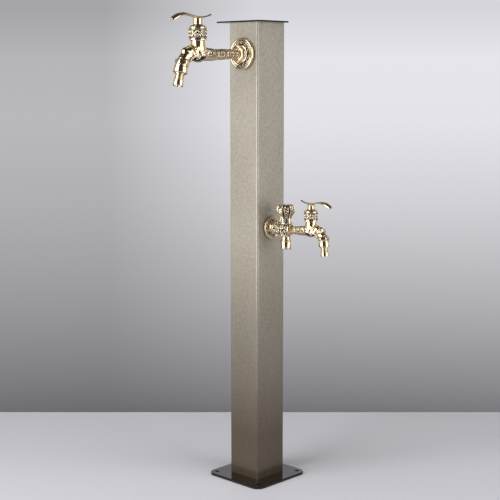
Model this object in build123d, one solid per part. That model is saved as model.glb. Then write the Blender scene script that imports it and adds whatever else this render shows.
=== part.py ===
from build123d import *
import math
import os

# Garden standpipe: a square post on a bolted base plate, with a long bib tap high on the front
# face (towards -Y) and a smaller two-way tap low on the right face (towards +X).
# The origin is the centre of the base plate's underside and +Z is up. Sizes are millimetres.

# Post, base plate and cap
post_height = 950.0
post_side = 80.0
post_wall = 2.5
post_corner_radius = 4.0
base_side = 150.0
base_thickness = 5.0
base_corner_radius = 18.0
base_edge_chamfer = 0.8
bolt_spacing = 120.0
bolt_hole_diameter = 9.0
cap_thickness = 3.0
cap_corner_radius = 2.0
cap_overhang_left = 34.0
cap_overhang_right = 8.0
cap_overhang_side = 3.0
insert_wall = 3.0
insert_depth = 15.0

# Heights of the two arm axes above the floor
upper_tap_height = 884.3
lower_tap_height = 534.0

# Clearances, and how far a cutting tool runs past a face
slip_clearance = 0.1
running_clearance = 0.05
moving_gap = 0.3
cut_overrun = 1.0

# Half inch pipe thread and the supply fittings inside the post
thread_radius = 10.48
thread_engagement = 10.0
locknut_thickness = 6.0
locknut_flats = 30.0
fitting_gap = 0.5
fitting_wall = 3.0
pipe_radius = 7.5
pipe_wall = 1.0
socket_depth = 10.0
tee_half_length = 24.0
inlet_thread_depth = 16.0
inlet_web = 3.0
inlet_flange_radius = 22.0
inlet_flange_thickness = 4.0
clip_wall = 2.5
clip_height = 12.0
clip_arm_width = 4.0
clip_foot_side = 20.0
clip_foot_thickness = 2.0
clip_height_shares = (0.28, 0.74)

# Wall flange and rubber ring behind each tap, at the size of the upper tap
flange_radius = 33.0
flange_rim_height = 6.0
flange_rim_width = 5.0
flange_groove_depth = 1.6
flange_groove_width = 3.6
flange_bead_width = 1.2
flange_field_height = 5.5
flange_hub_radius = 18.5
flange_hub_height = 10.5
gasket_thickness = 1.5
gasket_inset = 2.0

# Arm of the upper tap
upper_share = 1.0
upper_reach = 124.5
upper_collar_flats = 30.0
upper_collar_length = 9.0
upper_collar_chamfer = 1.8
upper_arm_radius = 9.6
arm_end_radius = 11.0
upper_arm_sag = 2.8
upper_nozzle_tilt = 14.0

# Head of a tap: measured from the point where the bonnet axis meets the head's centre height
waterway_radius = 6.0
horn_start = 38.7
horn_step = 0.8
horn_overlap = 2.0
horn_end_radius = 14.2
shoulder_reach = 27.0
shoulder_drop = 4.0
shoulder_radius = 12.9
spout_reach = 44.2
spout_drop = 26.5
spout_radius = 12.2
neck_radius = 16.4
neck_height = 24.2
chamber_radius = 17.2
chamber_drop = 1.0
neck_spigot_radius = 14.0
neck_spigot_height = 13.5
seat_height = 7.5
seat_port_radius = 4.5
outlet_bore_radius = 4.5
outlet_start_reach = 8.0
outlet_start_height = 15.5
knuckle_radius = 15.2
knuckle_length = 8.5
knuckle_setback = 4.5
knuckle_turn = 30.0
spout_ring_radius = 13.4
spout_ring_length = 3.0
spout_spigot_radius = 10.8
spout_spigot_length = 6.5

# Bonnet, a turned sleeve with a sunk ornamental band under a domed shoulder
bonnet_radius = 18.2
bonnet_skirt_proud = 0.6
bonnet_skirt_height = 3.0
bonnet_band_depth = 0.7
bonnet_rim_height = 2.2
bonnet_bead_proud = 0.4
bonnet_bead_height = 1.2
bonnet_bead_gap = 0.9
bonnet_straight_height = 24.0
bonnet_dome_height = 6.0
bonnet_dome_top_radius = 10.4

# Quarter turn ceramic valve inside the bonnet
cartridge_radius = 10.9
cartridge_flange_thickness = 3.5
cartridge_neck_radius = 6.0
cartridge_window_radius = 2.5
disc_radius = 8.4
disc_thickness = 2.5
disc_port_radius = 2.8
disc_port_offset = 4.2
seal_thickness = 2.0
spindle_radius = 4.0
spindle_foot_thickness = 2.5
oring_section = 1.4
oring_setdown = 12.0

# S-shaped lever: stations from the short end on the post side to the long outer end. Each gives the
# shares of the length, rise, half width and half thickness there, and the slope in degrees
lever_boss_radius = 9.1
lever_boss_height = 12.0
lever_boss_flare = 1.6
lever_length = 66.5
lever_rise = 10.0
lever_half_width = 7.0
lever_half_thickness = 1.9
lever_station_shares = (
    (-0.475, 0.62, 0.60, 0.72, -12.0),
    (-0.34, 0.38, 0.66, 0.92, -12.0),
    (-0.16, 0.16, 0.68, 1.15, -5.0),
    (0.06, 0.18, 0.72, 1.28, 5.0),
    (0.29, 0.46, 0.76, 1.32, 8.0),
    (0.53, 0.66, 0.88, 1.52, 0.0),
    (0.76, 0.42, 1.00, 1.66, -16.0),
    (0.93, -0.04, 0.92, 1.40, -27.0),
    (1.0, -0.30, 0.70, 1.00, -31.0),
)
lever_roll_radius = 2.6
screw_radius = 2.0
screw_length = 5.0
screw_socket_radius = 0.9
screw_socket_depth = 1.6

# Hose connector on a tap's spout
nozzle_nut_radius = 14.4
nozzle_nut_length = 12.5
nozzle_nut_chamfer = 1.0
nozzle_lip = 2.2
nozzle_flange_thickness = 1.8
nozzle_rib_radius = 10.6
nozzle_rib_length = 3.4
nozzle_waist_radius = 8.4
nozzle_second_rib_radius = 9.4
nozzle_waist_length = 2.8
nozzle_tip_radius = 10.6
nozzle_tip_length = 12.5
nozzle_tip_chamfer = 1.0
nozzle_bore_radius = 6.2

# Lower two-way tap
lower_share = 0.77
lower_flange_share = 0.73
lower_head_raise = 4.0
lower_reach = 108.3
lower_arm_radius = 8.15
lower_nozzle_tilt = 5.0
shoulder_boss_reach = 26.0
shoulder_boss_offset = 5.0
shoulder_boss_rise = -0.8
shoulder_boss_radius = 5.5
shoulder_button_radius = 4.5
shoulder_boss_step = 3.0
shoulder_boss_height = 7.0
block_radius = 11.0
block_collar_radius = 12.6
block_collar_length = 3.0
block_length = 31.0
block_waist_radius = 8.8
block_flare_radius = 10.9
block_ring_at = 55.8
block_ring_width = 2.0
block_ring_radius = 10.2
block_arm_socket = 7.0
branch_reach = 41.0
branch_bore_radius = 7.5
branch_neck_radius = 10.6
branch_neck_height = 11.5
branch_drop = 22.1
branch_outlet_radius = 9.4
branch_seat_drop = 9.5
branch_port_radius = 4.2
branch_spigot_radius = 8.4
branch_spigot_length = 9.0
branch_disc_radius = 6.4
branch_disc_thickness = 2.0
branch_disc_port_share = 0.33
branch_seal_thickness = 1.6
branch_spindle_radius = 3.2
branch_cartridge_depth = 5.5
side_collar_radius = 10.95
side_collar_length = 18.9
side_collar_lip = 2.0
side_collar_bead = 0.5
side_bore_radius = 6.4

# Tulip knob on the two-way tap
knob_radius = 19.2
knob_height = 39.0
knob_skirt_radius = 12.2
knob_foot_radius = 13.2
knob_neck_radius = 13.8
knob_crown_radius = 10.5
knob_crown_fall = 1.2
knob_widest_share = 0.71
knob_neck_share = 0.42
knob_skirt_share = 0.25
knob_flute_count = 8
knob_flute_radius = 5.5
knob_flute_depth = 1.6
knob_screw_head_radius = 3.6
knob_screw_head_height = 2.0
knob_screw_sink = 1.2

# Worked out from the sizes above
post_half = post_side / 2
inner_half = post_half - post_wall
tee_reach = inner_half - locknut_thickness - fitting_gap
tail_end = tee_reach - thread_engagement
fitting_radius = thread_radius + fitting_wall
run_radius = pipe_radius + fitting_wall
pipe_bore = pipe_radius - pipe_wall
inlet_seat = inlet_thread_depth + inlet_web


def turned(outline):
    """Solid of revolution about +Z from a list of (radius, height) corners."""
    return revolve(Plane.XZ * make_face(Polyline(*outline, close=True)), Axis.Z)


def rod(radius, low, high):
    """Upright cylinder on the Z axis between two heights."""
    return Pos(0, 0, low) * extrude(Circle(radius), high - low)


def ring(outer, inner, low, high):
    """Upright tube on the Z axis between two heights."""
    return rod(outer, low, high) - rod(inner, low - cut_overrun, high + cut_overrun)


def outwards(shape):
    """Lay an upright shape along +X."""
    return Rot(0, 90, 0) * shape


def hexagon(flats, low, high):
    """Upright hexagonal prism given across its flats."""
    across = RegularPolygon(flats / 2, 6, major_radius=False)
    return Pos(0, 0, low) * extrude(across, high - low)


def tapered(start, end, start_radius, end_radius):
    """Straight round bar from one point to another, tapered where its two radii differ."""
    way = Vector(*end) - Vector(*start)
    along = Plane(origin=start, z_dir=way)
    if start_radius == end_radius:
        return along * extrude(Circle(start_radius), way.length)
    return along * Cone(start_radius, end_radius, way.length, align=(Align.CENTER, Align.CENTER, Align.MIN))


# Post and supply

def make_base_plate():
    plate = extrude(RectangleRounded(base_side, base_side, base_corner_radius), base_thickness)
    plate = chamfer(plate.faces().sort_by(Axis.Z)[-1].outer_wire().edges(), base_edge_chamfer)
    hole = rod(bolt_hole_diameter / 2, -cut_overrun, base_thickness + cut_overrun)
    plate -= GridLocations(bolt_spacing, bolt_spacing, 2, 2) * hole
    return plate - rod(fitting_radius + slip_clearance, -cut_overrun, base_thickness + cut_overrun)


def make_post_tube():
    outer = RectangleRounded(post_side, post_side, post_corner_radius)
    inner = RectangleRounded(2 * inner_half, 2 * inner_half, post_corner_radius - post_wall)
    tube = Pos(0, 0, base_thickness) * extrude(outer - inner, post_height - base_thickness - cap_thickness)
    tail_hole = rod(thread_radius + slip_clearance, 0, post_side)
    tube -= Pos(0, 0, lower_tap_height) * outwards(tail_hole)
    return tube - Pos(0, 0, upper_tap_height) * Rot(90, 0, 0) * tail_hole


def make_cap_plate():
    width = post_side + cap_overhang_left + cap_overhang_right
    depth = post_side + 2 * cap_overhang_side
    plate = extrude(RectangleRounded(width, depth, cap_corner_radius), cap_thickness)
    shift = (cap_overhang_right - cap_overhang_left) / 2
    return Pos(shift, 0, post_height - cap_thickness) * plate


def make_cap_insert():
    outer = 2 * (inner_half - slip_clearance)
    inner = outer - 2 * insert_wall
    frame = extrude(Rectangle(outer, outer) - Rectangle(inner, inner), insert_depth)
    frame = chamfer(frame.edges().filter_by(Axis.Z).group_by(SortBy.DISTANCE)[-1], post_corner_radius / 2)
    return Pos(0, 0, post_height - cap_thickness - insert_depth) * frame


def make_supply_inlet():
    top = inlet_seat + socket_depth
    flange_top = base_thickness + inlet_flange_thickness
    fitting = rod(fitting_radius, 0, top) + rod(inlet_flange_radius, base_thickness, flange_top)
    fitting -= rod(thread_radius, -cut_overrun, inlet_thread_depth)
    fitting -= rod(pipe_bore, 0, top)
    return fitting - rod(pipe_radius + slip_clearance, inlet_seat, top + cut_overrun)


def make_riser(low, high):
    return ring(pipe_radius, pipe_bore, low, high)


def branch_to_tap():
    """Female branch of a fitting: an upright boss with a thread mouth, to be laid level."""
    boss = rod(fitting_radius, 0, tee_reach)
    return boss, rod(thread_radius + slip_clearance, tail_end, tee_reach + cut_overrun)


def make_supply_tee():
    boss, mouth = branch_to_tap()
    tee = rod(run_radius, -tee_half_length, tee_half_length) + outwards(boss)
    tee -= rod(pipe_bore, -tee_half_length, tee_half_length)
    for low in (-tee_half_length - cut_overrun, tee_half_length - socket_depth):
        tee -= rod(pipe_radius + slip_clearance, low, low + socket_depth + cut_overrun)
    tee -= outwards(mouth + rod(pipe_bore, 0, tee_reach))
    return Pos(0, 0, lower_tap_height) * tee


def make_supply_elbow():
    boss, mouth = branch_to_tap()
    elbow = rod(run_radius, -tee_half_length, 0) + Rot(90, 0, 0) * boss + Sphere(fitting_radius)
    elbow -= rod(pipe_bore, -tee_half_length, 0)
    elbow -= rod(pipe_radius + slip_clearance, -tee_half_length - cut_overrun, socket_depth - tee_half_length)
    elbow -= Rot(90, 0, 0) * (mouth + rod(pipe_bore, 0, tee_reach))
    return Pos(0, 0, upper_tap_height) * elbow


def make_pipe_clip(height):
    inner = pipe_radius + slip_clearance
    arm_start = inner + clip_wall / 2
    clip = ring(inner + clip_wall, inner, -clip_height / 2, clip_height / 2)
    inward, outward = (Align.MAX, Align.CENTER, Align.CENTER), (Align.MIN, Align.CENTER, Align.CENTER)
    arm = Box(inner_half - arm_start, clip_arm_width, clip_height, align=inward)
    foot = Box(clip_foot_thickness, clip_foot_side, clip_foot_side, align=outward)
    return Pos(0, 0, height) * (clip + Pos(-arm_start, 0, 0) * arm + Pos(-inner_half, 0, 0) * foot)


# Wall flange, gasket and locknut, in the frame of a tap: +X out of the post, origin on its face

def make_flange(share):
    radius, rim_top = flange_radius * share, flange_rim_height * share
    field_edge = radius - flange_rim_width * share
    groove = flange_groove_depth * share
    groove_end = field_edge - flange_groove_width * share
    hub, hub_top = flange_hub_radius * share, flange_hub_height * share
    bore = thread_radius + slip_clearance
    field, groove_floor = flange_field_height * share, rim_top - groove
    bead_outer = (field_edge + groove_end + flange_bead_width * share) / 2
    bead_inner = bead_outer - flange_bead_width * share
    outline = [
        (bore, 0), (radius, 0), (radius, rim_top / 2),
        ((radius + field_edge) / 2, rim_top), (field_edge, groove_floor),
        (bead_outer, groove_floor), (bead_outer, field), (bead_inner, field), (bead_inner, groove_floor),
        (groove_end, groove_floor), (groove_end, field), (hub, field + groove),
        ((hub + bore) / 2, hub_top), (bore, hub_top),
    ]
    return outwards(Pos(0, 0, gasket_thickness) * turned(outline))


def make_gasket(share):
    outer, inner = flange_radius * share - gasket_inset, thread_radius + slip_clearance
    return outwards(ring(outer, inner, 0, gasket_thickness))


def make_locknut():
    nut = hexagon(locknut_flats, -post_wall - locknut_thickness, -post_wall)
    return outwards(nut - rod(thread_radius + slip_clearance, -post_half, 0))


def wall_pieces(share):
    return {"flange": make_flange(share), "flange_gasket": make_gasket(share), "locknut": make_locknut()}


# Head of a tap, in its own frame: bonnet on the Z axis, spout towards +X

def nozzle_place(share, tilt):
    """Plane at the spout's mouth, its Z axis running down the tilted hose connector."""
    angle = math.radians(tilt)
    return Plane(
        origin=(spout_reach * share, 0, -spout_drop * share),
        x_dir=(math.cos(angle), 0, math.sin(angle)),
        z_dir=(math.sin(angle), 0, -math.cos(angle)),
    )


def make_horn(share, tilt, arm_radius, arm_height):
    """Curved body: flare from the arm, ball chamber, ball shoulder and the leg down to the knuckle."""
    centre = (0, 0, -chamber_drop * share)
    shoulder = (shoulder_reach * share, 0, -shoulder_drop * share)
    knuckle = nozzle_place(share, tilt).offset(-(knuckle_setback + knuckle_length / 2) * share)
    start, end, width = (-horn_start * share, 0, arm_height), horn_end_radius * share, spout_radius * share
    horn = tapered(start, centre, arm_radius + horn_step, end)
    horn += Pos(*centre) * Sphere(chamber_radius * share)
    horn += tapered(centre, shoulder, end, width)
    horn += Pos(*shoulder) * Sphere(shoulder_radius * share)
    return horn + tapered(shoulder, tuple(knuckle.origin), width, width)


def make_head(share, tilt, arm_radius, arm_height, arm):
    """Hollow cast head with its arm, the bonnet spigot on top and the connector spigot below."""
    mouth = nozzle_place(share, tilt)
    neck, neck_top = neck_radius * share, neck_height * share
    body = make_horn(share, tilt, arm_radius, arm_height) + arm
    body += rod(neck, 0, neck_top)
    body += rod(neck_spigot_radius * share, 0, neck_top + neck_spigot_height * share)
    knuckle_low = -(knuckle_setback + knuckle_length) * share
    six_flats = RegularPolygon(knuckle_radius * share, 6, rotation=knuckle_turn)
    knuckle = Pos(0, 0, knuckle_low) * extrude(six_flats, knuckle_length * share)
    body += mouth * knuckle
    body += mouth * rod(spout_radius * share, knuckle_low / 2, 0)
    body += mouth * rod(spout_ring_radius * share, -spout_ring_length * share, 0)
    body += mouth * rod(spout_spigot_radius * share, 0, spout_spigot_length * share)
    seat = seat_height * share
    body -= rod(cartridge_radius * share + slip_clearance, seat, neck_top + spout_reach)
    start = (outlet_start_reach * share, 0, outlet_start_height * share)
    body -= tapered(start, tuple(mouth.origin), outlet_bore_radius * share, outlet_bore_radius * share)
    return body - mouth * rod(nozzle_bore_radius * share, -spout_ring_length * share, spout_radius)


def bored_arm(body, share, start, height):
    """Drill the waterway along the arm and the port up to the valve seat."""
    port = seat_port_radius * share
    body -= Pos(0, 0, height) * outwards(rod(waterway_radius * share, start - cut_overrun, port))
    return body - rod(port, height, seat_height * share + cut_overrun)


def make_bonnet(share):
    low = neck_height * share
    radius = bonnet_radius * share
    skirt, skirt_top = radius + bonnet_skirt_proud * share, low + bonnet_skirt_height * share
    top = low + bonnet_straight_height * share
    rim, field = bonnet_rim_height * share, radius - bonnet_band_depth * share
    bead, bead_height = radius + bonnet_bead_proud * share, bonnet_bead_height * share
    gap = bonnet_bead_gap * share
    lower_bead, upper_bead = skirt_top + gap, top - rim - gap - bead_height
    crown, crown_radius = top + bonnet_dome_height * share, bonnet_dome_top_radius * share
    inside = neck_spigot_radius * share + slip_clearance
    roof = low + (neck_spigot_height + cartridge_flange_thickness) * share + slip_clearance
    hole = cartridge_neck_radius * share + slip_clearance
    belly = ((radius + crown_radius) / 2 + rim / 2, (top + crown) / 2 + rim / 2)
    outline = Polyline((crown_radius, crown), (hole, crown), (hole, roof), (inside, roof), (inside, low),
                       (skirt, low), (skirt, skirt_top), (field, skirt_top), (field, lower_bead),
                       (bead, lower_bead), (bead, lower_bead + bead_height),
                       (field, lower_bead + bead_height), (field, upper_bead), (bead, upper_bead),
                       (bead, upper_bead + bead_height), (field, upper_bead + bead_height),
                       (field, top - rim), (radius, top - rim), (radius, top))
    dome = ThreePointArc((radius, top), belly, (crown_radius, crown))
    return revolve(Plane.XZ * make_face([outline, dome]), Axis.Z)


def bonnet_top(share):
    return (neck_height + bonnet_straight_height + bonnet_dome_height) * share


def valve_levels(share):
    """Heights of the seal's foot, the fixed disc, the moving disc, the spindle foot and its top."""
    seal = seat_height * share
    fixed = seal + seal_thickness * share
    moving = fixed + disc_thickness * share + running_clearance
    foot = moving + disc_thickness * share
    return seal, fixed, moving, foot, foot + spindle_foot_thickness * share


def make_cartridge(share):
    levels = valve_levels(share)
    outer, neck = cartridge_radius * share, cartridge_neck_radius * share
    flange = (neck_height + neck_spigot_height) * share
    flange_top = flange + cartridge_flange_thickness * share
    spigot = neck_spigot_radius * share
    cavity = disc_radius * share + moving_gap
    cavity_top = levels[4] + moving_gap
    bore = spindle_radius * share + running_clearance
    top = bonnet_top(share)
    shell = turned([
        (bore, cavity_top), (cavity, cavity_top), (cavity, levels[0]), (outer, levels[0]), (outer, flange),
        (spigot, flange), (spigot, flange_top), (neck, flange_top), (neck, top), (bore, top),
    ])
    window = Pos(0, 0, levels[3]) * outwards(rod(cartridge_window_radius * share, -neck_radius, neck_radius))
    return shell - window


def make_disc(radius, thickness, low, port_radius, port_offset):
    """Ceramic disc with a pair of round ports."""
    disc = rod(radius, low, low + thickness)
    port = rod(port_radius, low - cut_overrun, low + thickness + cut_overrun)
    return disc - Pos(0, port_offset, 0) * port - Pos(0, -port_offset, 0) * port


def make_seal(radius, bore, low, thickness):
    return ring(radius, bore, low, low + thickness)


def make_spindle(radius, foot_radius, foot, foot_top, top, groove_at, section):
    """Valve spindle with a driving foot and a groove for its rubber ring."""
    spindle = rod(foot_radius, foot, foot_top) + rod(radius, foot, top)
    groove = ring(radius + cut_overrun, radius - section / 2, groove_at - section, groove_at)
    return spindle - groove


def make_oring(radius, groove_at, section):
    return ring(radius, radius - section / 2, groove_at - section, groove_at)


def lever_section(station, share, saddle):
    """Ellipse of the lever, square to its S-shaped centreline."""
    along, rise, width, thickness, slope = station
    angle = math.radians(slope)
    square = Plane(
        origin=(along * lever_length * share, 0, saddle + rise * lever_rise * share),
        x_dir=(0, 1, 0), z_dir=(math.cos(angle), 0, math.sin(angle)),
    )
    return square * Ellipse(width * lever_half_width * share, thickness * lever_half_thickness * share)


def make_lever(share):
    low = bonnet_top(share) + moving_gap
    top = low + lever_boss_height * share
    radius = lever_boss_radius * share
    spine = loft([lever_section(station, share, top) for station in lever_station_shares])
    flare = lever_boss_flare * share
    boss = turned([
        (0, low), (radius, low), (radius, top - 2 * flare), (radius + flare, top - flare / 2),
        (radius / 2, top + flare), (0, top + flare),
    ])
    lever = spine + boss
    for station in (lever_station_shares[0], lever_station_shares[-1]):
        reach, height = station[0] * lever_length * share, top + station[1] * lever_rise * share
        half = station[2] * lever_half_width * share
        roll = Rot(90, 0, 0) * rod(lever_roll_radius * share, -half, half)
        lever += Pos(reach, 0, height) * roll
    lever -= rod(spindle_radius * share, low - cut_overrun, top)
    return lever - lever_screw_way(share)


def lever_screw_height(share):
    return bonnet_top(share) + moving_gap + lever_boss_height * share / 2


def lever_screw_way(share):
    """Radial hole through the boss on the side that faces the post."""
    start = -lever_boss_radius * share - cut_overrun
    return Pos(start, 0, lever_screw_height(share)) * outwards(rod(screw_radius * share, 0, -start))


def make_lever_screw(share):
    """Grub screw that bears on the spindle, with a hexagon socket in its outer end."""
    start = -(spindle_radius + screw_length) * share
    screw = rod(screw_radius * share, 0, screw_length * share)
    socket = extrude(RegularPolygon(screw_socket_radius * share, 6), screw_socket_depth * share)
    return Pos(start, 0, lever_screw_height(share)) * outwards(screw - socket)


def nozzle_levels(share):
    """Distances down the connector: washer, tail flange, nut lip, nut end, ribs and tip."""
    washer = spout_spigot_length * share
    flange = (nozzle_nut_length - nozzle_lip - nozzle_flange_thickness) * share
    lip = flange + nozzle_flange_thickness * share
    end = nozzle_nut_length * share
    rib = end + nozzle_rib_length * share
    second = rib + nozzle_waist_length * share
    second_end = second + nozzle_rib_length * share
    tip = second_end + nozzle_waist_length * share
    return washer, flange, lip, end, rib, second, second_end, tip, tip + nozzle_tip_length * share


def make_nozzle_nut(share):
    washer, flange, lip, end = nozzle_levels(share)[:4]
    radius, edge = nozzle_nut_radius * share, nozzle_nut_chamfer * share
    inside = spout_spigot_radius * share + slip_clearance
    hole = nozzle_waist_radius * share + slip_clearance
    return turned([
        (inside, 0), (radius - edge, 0), (radius, edge), (radius, end - edge), (radius - edge, end),
        (hole, end), (hole, lip), (inside, lip),
    ])


def make_nozzle_tail(share):
    washer, flange, lip, end, rib, second, second_end, tip, foot = nozzle_levels(share)
    bore, waist = nozzle_bore_radius * share, nozzle_waist_radius * share
    first, later = nozzle_rib_radius * share, nozzle_second_rib_radius * share
    last = nozzle_tip_radius * share
    edge = nozzle_tip_chamfer * share
    shoulder = spout_spigot_radius * share
    return turned([
        (bore, flange), (shoulder, flange), (shoulder, lip), (waist, lip), (waist, end), (first, end + edge),
        (first, rib - edge), (waist, rib), (waist, second), (later, second + edge),
        (later, second_end - edge), (waist, second_end), (waist, tip), (last - edge, tip),
        (last, tip + edge), (last, foot - edge), (last - edge, foot), (bore, foot),
    ])


def make_nozzle_washer(share):
    washer, flange = nozzle_levels(share)[:2]
    return ring(spout_spigot_radius * share, nozzle_bore_radius * share, washer, flange)


def valve_pieces(share):
    """The valve inside a head, by piece name."""
    seal, fixed, moving, foot, foot_top = valve_levels(share)
    disc, thickness = disc_radius * share, disc_thickness * share
    port, offset = disc_port_radius * share, disc_port_offset * share
    spindle, section = spindle_radius * share, oring_section * share
    top = bonnet_top(share) + moving_gap + (lever_boss_height - lever_boss_flare) * share
    groove_at = bonnet_top(share) - oring_setdown * share
    return {
        "bonnet": make_bonnet(share),
        "cartridge": make_cartridge(share),
        "seat_seal": make_seal(disc, seat_port_radius * share, seal, seal_thickness * share),
        "fixed_disc": make_disc(disc, thickness, fixed, port, offset),
        "moving_disc": make_disc(disc, thickness, moving, port, offset),
        "spindle": make_spindle(spindle, disc, foot, foot_top, top, groove_at, section),
        "spindle_oring": make_oring(spindle, groove_at, section),
        "lever": make_lever(share),
        "lever_screw": make_lever_screw(share),
    }


def connector_pieces(share, tilt):
    mouth = nozzle_place(share, tilt)
    return {
        "nozzle_nut": mouth * make_nozzle_nut(share),
        "nozzle_tail": mouth * make_nozzle_tail(share),
        "nozzle_washer": mouth * make_nozzle_washer(share),
    }


# Upper tap

def make_collar_limit(low, high):
    """Turned shape that trims the corners of the hexagon collar at both ends."""
    corner = upper_collar_flats / math.sqrt(3)
    flat, edge = corner - upper_collar_chamfer, upper_collar_chamfer / 2
    return turned([
        (0, low), (flat, low), (corner, low + edge), (corner, high - edge), (flat, high), (0, high),
    ])


def make_upper_body():
    """Tail, hexagon collar, drooping arm and head in one casting."""
    front = gasket_thickness + flange_hub_height - upper_reach
    tail = tail_end - post_half - upper_reach
    collar_end = front + upper_collar_length
    arm = outwards(rod(thread_radius, tail, front + upper_collar_length / 2))
    arm += outwards(hexagon(upper_collar_flats, front, collar_end) & make_collar_limit(front, collar_end))
    start = (collar_end - horn_overlap, 0, 0)
    arm += tapered(start, (horn_overlap - horn_start, 0, -upper_arm_sag), upper_arm_radius, arm_end_radius)
    body = make_head(upper_share, upper_nozzle_tilt, arm_end_radius, -upper_arm_sag, arm)
    return bored_arm(body, upper_share, tail, -upper_arm_sag / 2)


# Lower tap

def make_shoulder_boss():
    """Round boss with a domed button, along +Z from the shoulder's side."""
    outer, step, inner = shoulder_boss_radius, shoulder_boss_step, shoulder_button_radius
    return turned([
        (0, 0), (outer, 0), (outer, step), (inner, step), (inner, 2 * step),
        (inner / 2, shoulder_boss_height), (0, shoulder_boss_height),
    ])


def make_lower_body():
    """Straight arm and head; the arm's end is held in the two-way block."""
    start = block_ring_at - block_arm_socket - lower_reach
    horn_end = horn_overlap - horn_start * lower_share
    arm = Pos(0, 0, -lower_head_raise) * outwards(rod(lower_arm_radius, start, horn_end))
    for side in (-1, 1):
        seat = Pos(shoulder_boss_reach, side * shoulder_boss_offset, shoulder_boss_rise)
        arm += seat * Rot(-90 * side, 0, 0) * make_shoulder_boss()
    body = make_head(lower_share, lower_nozzle_tilt, lower_arm_radius, -lower_head_raise, arm)
    return bored_arm(body, lower_share, start, -lower_head_raise)


def make_lower_block():
    """Two-way block with a branch for the knob's valve above and the side outlet below."""
    front = gasket_thickness + flange_hub_height * lower_flange_share
    shoulder = front + block_length
    ring_back = block_ring_at - block_ring_width
    tail = tail_end - post_half
    spine = outwards(turned([
        (0, tail), (thread_radius, tail), (thread_radius, front), (block_collar_radius, front),
        (block_collar_radius, front + block_collar_length), (block_radius, front + block_collar_length),
        (block_radius, shoulder), (block_waist_radius, shoulder + block_ring_width),
        (block_flare_radius, ring_back), (block_ring_radius, block_ring_at), (0, block_ring_at),
    ]))
    branch = rod(branch_neck_radius, 0, branch_neck_height) + rod(branch_outlet_radius, -branch_drop, 0)
    branch += rod(branch_spigot_radius, -branch_drop - branch_spigot_length, 0)
    bores = rod(branch_bore_radius + slip_clearance, -branch_seat_drop, branch_neck_height + cut_overrun)
    bores += rod(branch_port_radius, -branch_drop - branch_spigot_length - cut_overrun, 0)
    block = spine + Pos(branch_reach, 0, 0) * branch - Pos(branch_reach, 0, 0) * bores
    block -= outwards(rod(waterway_radius * lower_share, tail - cut_overrun, block_ring_at))
    socket_start = block_ring_at - block_arm_socket
    return block - outwards(rod(lower_arm_radius + slip_clearance, socket_start, block_ring_at + cut_overrun))


def branch_levels():
    """Heights of the branch valve's seal, fixed disc, moving disc, spindle foot and its top."""
    seal = -branch_seat_drop
    fixed = seal + branch_seal_thickness
    moving = fixed + branch_disc_thickness + running_clearance
    foot = moving + branch_disc_thickness
    return seal, fixed, moving, foot, foot + branch_disc_thickness


def make_knob_cartridge():
    """Gland bush that guides the branch spindle in the block's neck."""
    bore = branch_spindle_radius + running_clearance
    low = branch_neck_height - branch_cartridge_depth
    return ring(branch_bore_radius, bore, low, branch_neck_height)


def make_knob():
    """Fluted tulip knob: a domed cap that draws in to a skirt and flares at its foot."""
    low = branch_neck_height + moving_gap
    top = low + knob_height
    skirt = (knob_skirt_radius, low + knob_height * knob_skirt_share)
    widest = (knob_radius, low + knob_height * knob_widest_share)
    neck = (knob_neck_radius, low + knob_height * knob_neck_share)
    profile = Polyline(skirt, (knob_foot_radius, low), (0, low), (0, top))
    crown = (knob_crown_radius, top - knob_crown_fall)
    cap = Spline((0, top), crown, widest, neck, skirt, tangents=((1, 0), (0, -1)))
    knob = revolve(Plane.XZ * make_face([profile, cap]), Axis.Z)
    flute = rod(knob_flute_radius, low - cut_overrun, top + cut_overrun)
    away = knob_radius + knob_flute_radius - knob_flute_depth
    knob -= PolarLocations(away, knob_flute_count) * flute
    knob -= rod(branch_spindle_radius, low - cut_overrun, top - knob_screw_sink - 2 * knob_screw_head_height)
    knob -= rod(screw_radius * lower_share, low, top)
    screw_seat = top - knob_screw_sink - knob_screw_head_height
    return knob - rod(knob_screw_head_radius, screw_seat, top + cut_overrun)


def make_knob_screw():
    top = branch_neck_height + moving_gap + knob_height - knob_screw_sink
    under_head = top - knob_screw_head_height
    shank = rod(screw_radius * lower_share, under_head - screw_length, under_head)
    head = rod(knob_screw_head_radius - slip_clearance, under_head, top)
    return shank + head


def make_side_collar():
    """Plain outlet sleeve of the branch, open below, with a bead at its top."""
    top, low = -branch_drop, -branch_drop - side_collar_length
    inside = branch_spigot_radius + slip_clearance
    shelf = top - branch_spigot_length - side_collar_lip
    bead = side_collar_radius + side_collar_bead
    return turned([
        (inside, top), (bead, top), (bead, top - side_collar_lip),
        (side_collar_radius, top - side_collar_lip), (side_collar_radius, low),
        (side_bore_radius, low), (side_bore_radius, shelf), (inside, shelf),
    ])


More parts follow.
